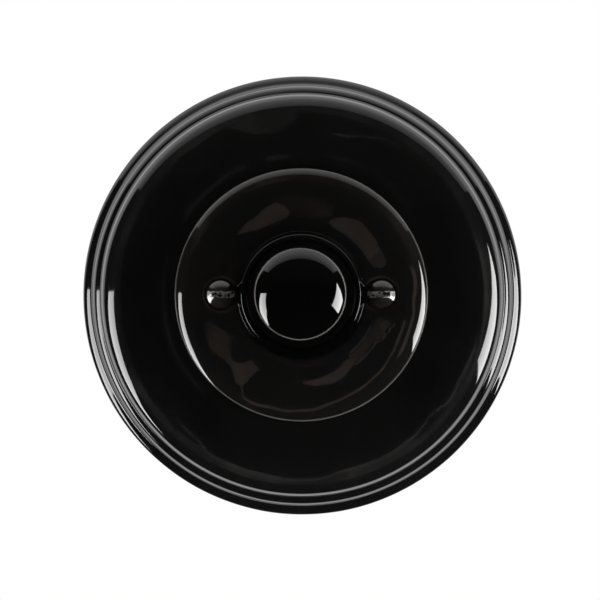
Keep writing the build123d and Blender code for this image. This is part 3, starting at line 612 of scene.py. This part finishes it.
def makeCover():
    work = bmesh.new()
    count, small = lid["segments"], recess["segments"]
    sides = (-screwX, screwX)
    nearly = 0.99999  # tells slivers inside a round hole from the faces round it
    slack = 1e-6  # points of a plan closer than this, in mm, are one

    def put(x, z, h):
        return work.verts.new((x * mm, -h * mm, z * mm))

    def turned(outline, segments=count, x=0.0):  # (distance, height) points swept round an axis at x
        rows = [[put(*point, h) for point in circle(r, segments, x)] for r, h in outline]
        for low, high in zip(rows, rows[1:]):
            for k in range(segments):
                work.faces.new((low[k], low[k - 1], high[k - 1], high[k]))

    def addLoop(plan, edges, loop):
        start, total = len(plan), len(loop)
        plan += [Vector(point) for point in loop]
        edges += [(start + k, start + (k + 1) % total) for k in range(total)]

    def fill(plan, edges, hole, bore, level):  # faces over a plan, open inside the hole and each screw's bore
        points, _, faces, *_ = geometry.delaunay_2d_cdt(plan, edges, [], 0, slack)
        verts = [put(p.x, p.y, level(p.x, p.y)) for p in points]
        for face in faces:
            middle = sum((points[i] for i in face), Vector((0, 0))) / len(face)
            if middle.length > hole * nearly and hypot(abs(middle.x) - screwX, middle.y) > bore * nearly:
                work.faces.new([verts[i] for i in face])

    reach, margin, parts = recess["reach"], recess["margin"], recess["slopeParts"]
    meet = next(i for i, (r, h) in enumerate(coverOutline) if r < screwX + reach + 2 * margin) - 1
    turned(coverOutline[: meet + 1])
    top, topEdges = [], []
    for r, h in coverOutline[meet:]:
        index = {}
        for k, (x, z) in enumerate(circle(r, count)):
            if hypot(abs(x) - screwX, z) > reach + margin:  # clear of the recesses' own rings
                index[k] = len(top)
                top.append(Vector((x, z)))
        topEdges += [(index[k], index[(k + 1) % count]) for k in index if (k + 1) % count in index]
    slope = [recess["floor"] + (reach - recess["floor"]) * k / parts for k in range(parts + 1)]
    for x in sides:
        for r in [recess["shank"], *recess["floorRings"], *slope]:
            addLoop(top, topEdges, circle(r, small, x))
    innerR, innerH = coverOutline[-1]
    fill(top, topEdges, innerR, recess["shank"], topLevel)
    turned([(innerR, innerH), (lid["hole"], innerH - lid["holeDrop"]), (lid["hole"], seatLevel)])
    skirtLow, bossLow = seatLevel - lid["skirtDepth"], seatLevel - lid["bossDepth"]
    skirtIn, skirtOut, boss, cut = lid["skirtIn"], lid["skirtOut"], lid["bossRadius"], lid["chamfer"]
    turned([(skirtIn, seatLevel), (skirtIn, skirtLow + cut), (skirtIn + cut, skirtLow), (skirtOut - cut, skirtLow),
            (skirtOut, skirtLow + cut), (skirtOut, seatLevel), (lid["radius"], seatLevel),
            (lid["radius"], seatLevel + lid["lip"])])
    under, underEdges = [], []
    for loop in [circle(lid["hole"], count), circle(skirtIn, count)] + [circle(boss, small, x) for x in sides]:
        addLoop(under, underEdges, loop)
    fill(under, underEdges, lid["hole"], boss, lambda x, z: seatLevel)
    for x in sides:
        turned([(boss, seatLevel), (boss, bossLow + cut), (boss - cut, bossLow), (recess["shank"], bossLow),
                (recess["shank"], recessFloor)], small, x)
    bmesh.ops.remove_doubles(work, verts=work.verts, dist=2 * weld["clean"])
    bmesh.ops.recalc_face_normals(work, faces=work.faces)
    mesh = bpy.data.meshes.new("coverBlank")
    work.to_mesh(mesh)
    work.free()
    piece = applyTrees("glazedCover", newObject("coverBlank", mesh), [(glazeTree, coatValues(lid["drift"]))])
    facingOut(piece)
    # a grey line along the rolled edge: painted reflection of the backdrop, where the glaze breaks
    paintPoints(piece, "thinAndSheen", lambda r, h, vertex: fadeIn(r - lid["radius"], *lid["breakAndSheenRim"])
                * fadeIn(h, seatLevel, lid["breakAndSheenHeight"]))
    paintPoints(piece, "warm", coverToneWithPaintedLight)
    return piece


cover = makeCover()
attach(cover, "base")
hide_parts("porcelain_cover")


# Knob: straight side, tight shoulder, crowned top, hollow below with a bore for its insert
button = {"radius": 10.3, "stand": 12.2, "dome": 5.35, "shoulder": 1.4, "sink": 3.6, "baseRound": 0.8, "roof": 7.0,
          "hollow": 6.5, "insert": 4.55, "insertLength": 8.0, "boreRound": 0.2, "insertRound": 0.3, "hollowRound": 0.6,
          "lipRound": 0.4, "sideParts": 6, "segments": 256, "drift": 7.7, "breakAndSheenRim": (-0.36, 0.16),
          "breakAndSheenFrom": (0.1, 0.5)}


def makeKnob():
    top = collarTop + button["stand"]
    base = seatLevel - button["sink"]
    low = top - button["dome"]
    rise = button["dome"] - button["shoulder"]
    crown = (button["radius"] ** 2 - 2 * button["radius"] * button["shoulder"] + button["dome"] ** 2) / (2 * rise)
    run = button["radius"] - button["shoulder"]
    turn = 90 - degrees(Vector((crown - button["dome"], run)).angle(Vector((1, 0))))
    dome = chain((button["radius"], low), 90, [(button["shoulder"], turn), (crown, 90 - turn)], step=2.0)
    dome[-1] = (0.0, dome[-1][1])
    insertTop = top - button["roof"]
    insertLow = insertTop - button["insertLength"]
    under = softened([
        (0.0, insertTop, 0),
        (button["insert"], insertTop, button["boreRound"]),
        (button["insert"], insertLow, button["insertRound"]),
        (button["hollow"], insertLow, button["hollowRound"]),
        (button["hollow"], base, button["lipRound"]),
        (button["radius"], base, button["baseRound"]),
        (button["radius"], low, 0),
    ])
    foot, parts = base + button["baseRound"], button["sideParts"]
    side = [(button["radius"], foot + (low - foot) * k / parts) for k in range(1, parts)]
    outline = outlineCurve("knobOutline", under[:-1] + side + dome, False)
    piece = applyTrees("glazedKnob", outline, [
        (turnedTree, {"Segments": button["segments"], "Material": porcelain}),
        (glazeTree, coatValues(button["drift"])),
    ])
    facingOut(piece)
    # a grey ring on the shoulder: painted reflection of the backdrop, where the glaze breaks
    paintPoints(piece, "thinAndSheen", lambda r, h, vertex: fadeIn(r - button["radius"], *button["breakAndSheenRim"])
                * fadeIn(h - low, *button["breakAndSheenFrom"]))
    return piece


knob = makeKnob()
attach(knob, "knob")
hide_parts("knob")


# Cover screws: raised heads, almost conical, with a sawn slot
screw = {"head": 3.1, "side": 0.3, "apex": (2.3, 33.5), "flank": 43.0, "shank": 1.75, "length": 8.5, "slot": 1.15,
         "slotDepth": 0.9, "headRound": 0.08, "neckRound": 0.1, "tipRound": 0.4, "edge": 28, "segments": 96}


def makeScrews():
    apexR, apexSlope = screw["apex"]
    a, b = radians(apexSlope), radians(screw["flank"])
    flankR = (screw["head"] - apexR * sin(a)) / (sin(b) - sin(a))
    domeH = apexR * (1 - cos(a)) + flankR * (cos(a) - cos(b))
    top = recessFloor + screw["side"] + domeH
    head = chain((0.0, top), 0, [(apexR, -apexSlope), (flankR, apexSlope - screw["flank"])], step=1.5)
    shank = softened([
        (screw["head"], recessFloor + screw["side"], 0),
        (screw["head"], recessFloor, screw["headRound"]),
        (screw["shank"], recessFloor, screw["neckRound"]),
        (screw["shank"], recessFloor - screw["length"], screw["tipRound"]),
        (0.0, recessFloor - screw["length"], 0),
    ])
    outline = outlineCurve("screwOutline", head + shank[1:], False)
    piece = applyTrees("coverScrews", outline, [
        (screwTree, {"Segments": screw["segments"], "Slot Width": screw["slot"] * mm,
                     "Slot Level": (top - screw["slotDepth"]) * mm, "Spacing": recess["spacing"] * mm,
                     "Material": blackSteel}),
        (glazeTree, {"Wave Height": 0.0, "Wave Scale": 1.0, "Drift": 0.0, "Edge Angle": radians(screw["edge"]),
                     "Material": blackSteel}),
    ])
    facingOut(piece)
    return piece


screws = makeScrews()
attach(screws, "base")
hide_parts("cover_screws")
print("pieces made")


# Finishes of the pieces that stay as drawn, by slot. Sizes are the pattern's, relief is its depth, in mm.
finishes = {
    # free-cutting brass, turned and stamped: warm yellow, fine lathe lines, dull spots
    "brass": {"name": "turnedBrass", "shades": ("#a8823f", "#d6b46c"), "size": 0.5, "stretch": (1, 8, 1),
              "rough": (0.2, 0.42), "relief": 0.004, "metal": 1.0},
    # bright drawn steel: cool grey, lines along the bar, a thin oil film
    "steel": {"name": "drawnSteel", "shades": ("#85868a", "#bcbdc0"), "size": 0.45, "stretch": (1, 0.1, 1),
              "rough": (0.22, 0.4), "relief": 0.003, "metal": 1.0},
    # zinc-plated sheet: pale blue-grey with faint crystals, drawn coarser than they are so that they show
    "zinc_plate": {"name": "zincPlatedSteel", "shades": ("#9fa5ac", "#cdd2d6"), "size": 2.4, "cells": True,
                   "rough": (0.26, 0.48), "relief": 0.002, "metal": 1.0},
    # die-cast zinc: satin, slightly mottled where the metal chilled
    "zinc_casting": {"name": "dieCastZinc", "shades": ("#8b8c8f", "#b3b4b6"), "size": 1.3, "rough": (0.36, 0.55),
                     "relief": 0.006, "metal": 1.0},
    # bright nickel plate: warm white, nearly a mirror
    "nickel_plate": {"name": "nickelPlate", "shades": ("#b5afa6", "#d8d3ca"), "size": 2.0, "rough": (0.1, 0.22),
                     "relief": 0.001, "metal": 1.0},
    # glass-filled polyamide, spark-eroded mould: matt charcoal with a fine sandy grain, drawn a little coarse
    "housing_plastic": {"name": "mouldedPolyamide", "shades": ("#26272a", "#36373b"), "size": 0.55,
                        "rough": (0.46, 0.68), "relief": 0.03},
    # glass-filled polyester: dark grey with pale flecks
    "pot_plastic": {"name": "filledPolyester", "shades": ("#37383b", "#56575b"), "size": 0.7, "cells": True,
                    "rough": (0.4, 0.6), "relief": 0.008},
    # screen-printed carbon: dull black, the mesh's print still in it
    "carbon_track": {"name": "printedCarbon", "shades": ("#141414", "#242424"), "size": 0.35, "grid": True,
                     "rough": (0.55, 0.75), "relief": 0.004},
    # glass-epoxy laminate under solder mask: leaf green, the cloth's weave just showing
    "board": {"name": "glassEpoxyLaminate", "shades": ("#5f7d38", "#76924c"), "size": 0.6, "grid": True,
              "rough": (0.3, 0.5), "relief": 0.006},
    # polycarbonate: ivory white, satin, faint flow clouds
    "switch_plastic": {"name": "ivoryPolycarbonate", "shades": ("#d6d2c8", "#e4e1d9"), "size": 3.0,
                       "rough": (0.3, 0.45), "relief": 0.004},
    # moulded epoxy package, dull black, on a tinned tab and legs
    "epoxy": {"name": "mouldedEpoxy", "shades": ("#1d1d1e", "#343435"), "size": 0.3, "rough": (0.5, 0.7),
              "relief": 0.008, "ends": (-1.35, 7.85, "#c3c4c4")},
    # ceramic-filled silicone sheet: pale blue-grey, rubbery
    "silicone": {"name": "filledSilicone", "shades": ("#b6bbc1", "#cbd0d5"), "size": 0.4, "rough": (0.6, 0.8),
                 "relief": 0.01},
    # sintered ferrite: charcoal, tight pores, slight metallic sheen
    "ferrite": {"name": "sinteredFerrite", "shades": ("#4c4c50", "#66666b"), "size": 0.4, "cells": True,
                "rough": (0.42, 0.6), "relief": 0.01, "metal": 0.2},
    # enamelled copper wire: red-brown, glossy, one line for each turn
    "copper": {"name": "enamelledCopper", "shades": ("#9c4f27", "#d08550"), "size": 0.9, "stretch": (0.08, 1, 1),
               "rough": (0.16, 0.3), "relief": 0.03, "metal": 0.9},
    # polyester box potted with resin: mustard yellow, satin
    "capacitor_box": {"name": "polyesterBox", "shades": ("#c9a32c", "#dcb94a"), "size": 1.2, "rough": (0.35, 0.5),
                      "relief": 0.006},
    # soda-lime glass tube between plated brass caps
    "fuse_glass": {"name": "fuseGlass", "shades": ("#dfe6e4", "#eef2f1"), "size": 3.0, "rough": (0.02, 0.06),
                   "relief": 0.001, "ends": (-5.0, 5.0, "#cfc9bf"), "clear": 0.9},
}


mottle = {"size": 9.0, "share": 0.45, "range": (0.25, 0.75)}  # stains over the grain, in mm


def makeFinish(name, shades, size, rough, relief, metal=0.0, stretch=(1, 1, 1), cells=False, grid=False, ends=None,
               clear=0.0):
    material, add, shader, place = newMaterial(name, Metallic=metal)
    drawn = add("Mapping", {"Vector": place, "Scale": stretch})
    if cells or grid:
        pattern = add("TexVoronoi", {"Vector": drawn, "Scale": perMm(size), "Randomness": 0.0 if grid else 1.0})
        grain = pattern.outputs["Distance" if grid else "Color"]
    else:
        pattern = add("TexNoise", {"Vector": drawn, "Scale": perMm(size), "Detail": 3.0})
        grain = pattern.outputs["Fac"]
    stains = add("TexNoise", {"Vector": place, "Scale": perMm(mottle["size"]), "Detail": 4.0})
    fine = add("Math", {0: grain, 1: 1 - mottle["share"]}, operation="MULTIPLY")
    blend = add("Math", {0: stains, 1: mottle["share"], 2: fine}, operation="MULTIPLY_ADD")
    tone = add("Mix", {0: blend, 6: linear(shades[0]), 7: linear(shades[1])}, data_type="RGBA")
    dull = add("MapRange", {"Value": blend, **ranged("From", mottle["range"]), **ranged("To", rough)})
    bump = add("Bump", {"Height": grain, "Distance": relief * mm})
    if ends:
        axes = add("SeparateXYZ", {0: place})
        shift = add("Math", {0: axes.outputs["X"], 1: (ends[0] + ends[1]) / 2 * mm}, operation="SUBTRACT")
        far = add("Math", {0: shift}, operation="ABSOLUTE")
        plated = add("Math", {0: far, 1: (ends[1] - ends[0]) / 2 * mm}, operation="GREATER_THAN")
        tone = add("Mix", {0: plated, 6: tone, 7: linear(ends[2])}, data_type="RGBA")
        setInputs(shader, {"Metallic": plated})
        if clear:
            glass = add("MapRange", {"Value": plated, **ranged("To", (clear, 0.0))})
            setInputs(shader, {"Transmission Weight": glass})
    setInputs(shader, {"Base Color": tone, "Roughness": dull, "Normal": bump})
    return material


slotOf = {part["node"]: part["material_slot"] for part in frame["record"]["subparts"]}
ready = {slotName: makeFinish(**finish) for slotName, finish in finishes.items()}
for nodeName, piece in frame["nodes"].items():
    if slotOf[nodeName] in ready:
        for holder in piece.material_slots:
            holder.material = ready[slotOf[nodeName]]
print(len(ready), "finishes given")


# Moulded and pressed edges of the pieces seen from behind: copies with each sharp edge eased, in mm and degrees
easing = {"widths": {"housing_tub": 0.35, "housing_lid": 0.3, "support_plate": 0.18}, "flat": 0.8, "sharp": 35,
          "segments": 2}


def easeEdges(nodeName, width):
    work = bmesh.new()
    work.from_mesh(frame["nodes"][nodeName].data)
    bmesh.ops.remove_doubles(work, verts=work.verts, dist=weld["merge"])
    bmesh.ops.dissolve_limit(work, angle_limit=radians(easing["flat"]), verts=work.verts, edges=work.edges)
    work.verts.index_update()
    mesh = bpy.data.meshes.new(nodeName + "Plain")
    mesh.from_pydata([v.co for v in work.verts], [], [[v.index for v in face.verts] for face in work.faces])
    work.free()
    mesh.shade_smooth()
    plain = newObject(nodeName + "Plain", mesh)
    bevel = plain.modifiers.new("bevel", "BEVEL")
    bevel.width, bevel.segments = width * mm, easing["segments"]
    bevel.limit_method, bevel.angle_limit = "ANGLE", radians(easing["sharp"])
    bevel.harden_normals = True
    piece = applyTrees(nodeName + "Eased", plain, [])
    piece.data.materials.append(ready[slotOf[nodeName]])
    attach(piece, "base")
    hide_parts(nodeName)
    print(piece.name, len(piece.data.polygons), "faces")


for nodeName, width in easing["widths"].items():
    easeEdges(nodeName, width)


# Return spring: a welded copy of the drawn coil, in drawn steel, held with the base
def makeSpring():
    work = bmesh.new()
    work.from_mesh(frame["nodes"]["return_spring"].data)
    bmesh.ops.remove_doubles(work, verts=work.verts, dist=weld["clean"])
    mesh = bpy.data.meshes.new("returnCoil")
    work.to_mesh(mesh)
    work.free()
    piece = newObject("returnCoil", mesh)
    piece.data.materials.clear()
    piece.data.materials.append(ready["steel"])
    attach(piece, "base")
    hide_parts("return_spring")
    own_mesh(piece)
    print(piece.name, len(piece.data.polygons), "faces")


makeSpring()


# Softboxes either side and a grey card above: flat panels that only light and reflections see
studio = {
    "distance": 1.4, "rim": (0.05, -0.009, -0.015), "glowFrom": -0.45,
    "left": [(-0.408, 0.042), (-0.286, -0.49), (0.154, -1.04), (0.048, -0.44), (-0.158, 0.042)],
    "right": [(-0.23, 0.33), (0.0, -0.14), (-0.02, -0.52), (-0.46, -0.37)],
    "top": [(-1.6, -0.335), (1.6, -0.335), (1.6, 0.1), (-1.6, 0.1)],
    "leftGlow": (5.2, 10.0), "rightGlow": (7.2, 13.5), "card": (0.31, 0.91),
}


def makePanel(name, corners, glow, span):  # its glow changes evenly across span, front to back
    material = bpy.data.materials.new(name)
    material.use_nodes = True
    material.node_tree.nodes.clear()
    add = partial(addNode, material.node_tree)
    axes = add("SeparateXYZ", {0: add("TexCoord").outputs["Object"]})
    fade = add("MapRange", {"Value": axes.outputs["Y"], **ranged("From", span), **ranged("To", glow)})
    add("OutputMaterial", {"Surface": add("Emission", {"Strength": fade})})
    mesh = bpy.data.meshes.new(name)
    mesh.from_pydata(corners, [], [tuple(range(len(corners)))])
    mesh.materials.append(material)
    panel = newObject(name, mesh)
    panel.visible_camera = False


def makeLights():
    far = studio["distance"]
    rimX, rimY, rimZ = studio["rim"]
    away = far - rimX
    for name, side, spots, glow in (("softboxLeft", -1, studio["left"], studio["leftGlow"]),
                                    ("softboxRight", 1, studio["right"], studio["rightGlow"])):
        corners = [(side * far, rimY + y * away, rimZ + z * away) for y, z in spots]
        makePanel(name, corners, glow, (studio["glowFrom"] * away, 0.0))
    corners = [(x * away, rimY + y * away, far) for x, y in studio["top"]]
    makePanel("cardTop", corners, studio["card"], (studio["top"][0][1] * away, 0.0))


makeLights()


# Pale floor well below: light bounces off it, and to the eye it is nearly as white as the room
ground = {"level": -0.75, "half": 6.0, "shades": ("#ebebea", "#f2f2f1"), "dust": 400.0, "glow": 0.38}


def makeFloor():
    material, add, shader, place = newMaterial("paleFloor", Roughness=0.9)
    dust = add("TexNoise", {"Vector": place, "Scale": perMm(ground["dust"]), "Detail": 2.0})
    tone = add("Mix", {0: dust, 6: linear(ground["shades"][0]), 7: linear(ground["shades"][1])}, data_type="RGBA")
    paths = add("LightPath")
    seen = add("MapRange", {"Value": paths.outputs["Is Camera Ray"], "To Max": ground["glow"]})
    setInputs(shader, {"Base Color": tone, "Emission Color": tone, "Emission Strength": seen})
    mesh = bpy.data.meshes.new("floor")
    half, level = ground["half"], ground["level"]
    mesh.from_pydata([(-half, -half, level), (half, -half, level), (half, half, level), (-half, half, level)], [],
                     [(0, 1, 2, 3)])
    mesh.materials.append(material)
    floor = newObject("floor", mesh)
    floor.visible_glossy = False


makeFloor()


# White to the eye all round. As light it is white behind the wall plane and a dim, warm room in front.
room = {"edge": (0.2, 0.3), "lean": 0.33, "height": (0.1, 0.9), "dark": (0.014, 0.045), "warm": "#e8e2dc",
        "backdrop": 1.3}


def makeWorld():
    world = bpy.data.worlds.new("whiteRoom")
    bpy.context.scene.world = world
    world.use_nodes = True
    world.node_tree.nodes.clear()
    add = partial(addNode, world.node_tree)
    axes = add("SeparateXYZ", {0: add("TexCoord").outputs["Generated"]})
    leaned = add("Math", {0: axes.outputs["Z"], 1: room["lean"], 2: axes.outputs["Y"]}, operation="MULTIPLY_ADD")
    behind = add("MapRange", {"Value": leaned, **ranged("From", room["edge"])}, interpolation_type="SMOOTHSTEP")
    paths = add("LightPath")
    level = add("MapRange", {"Value": paths.outputs["Is Glossy Ray"], **ranged("To", (1.0, room["backdrop"]))})
    above = add("MapRange", {"Value": axes.outputs["Z"], **ranged("From", room["height"]),
                             **ranged("To", room["dark"])})
    dim = add("Background", {"Color": linear(room["warm"]), "Strength": above})
    backdrop = add("Background", {"Color": linear("#ffffff"), "Strength": level})
    light = add("MixShader", {0: behind, 1: dim, 2: backdrop})
    white = add("Background", {"Color": linear("#ffffff")})
    eye = add("MixShader", {0: paths.outputs["Is Camera Ray"], 1: light, 2: white})
    add("OutputWorld", {"Surface": eye})


makeWorld()


# Camera: straight on, a touch right of and below the axis, from about 0.9 m
view = {"azimuth": 1.0, "elevation": -0.7, "distance": 0.9, "scale": 3940.0, "centre": (302.25, 295.4), "size": 600,
        "sensor": 36.0, "clip": (0.01, 50.0)}


def makeCamera():
    data = bpy.data.cameras.new("camera")
    camera = newObject("camera", data)
    data.sensor_width = view["sensor"]
    data.lens = view["scale"] * view["sensor"] / view["size"]
    a, e = radians(view["azimuth"]), radians(view["elevation"])
    back = Vector((sin(a) * cos(e), -cos(a) * cos(e), sin(e)))
    perPixel = view["distance"] / view["scale"]
    half = view["size"] / 2
    aim = Vector(((half - view["centre"][0]) * perPixel, 0, (view["centre"][1] - half) * perPixel))
    camera.location = back * view["distance"]
    camera.rotation_mode = "QUATERNION"
    camera.rotation_quaternion = (aim - camera.location).to_track_quat("-Z", "Y")
    data.clip_start, data.clip_end = view["clip"]
    bpy.context.scene.camera = camera


makeCamera()
bpy.context.scene.view_settings.view_transform = "Standard"
print("stage set")
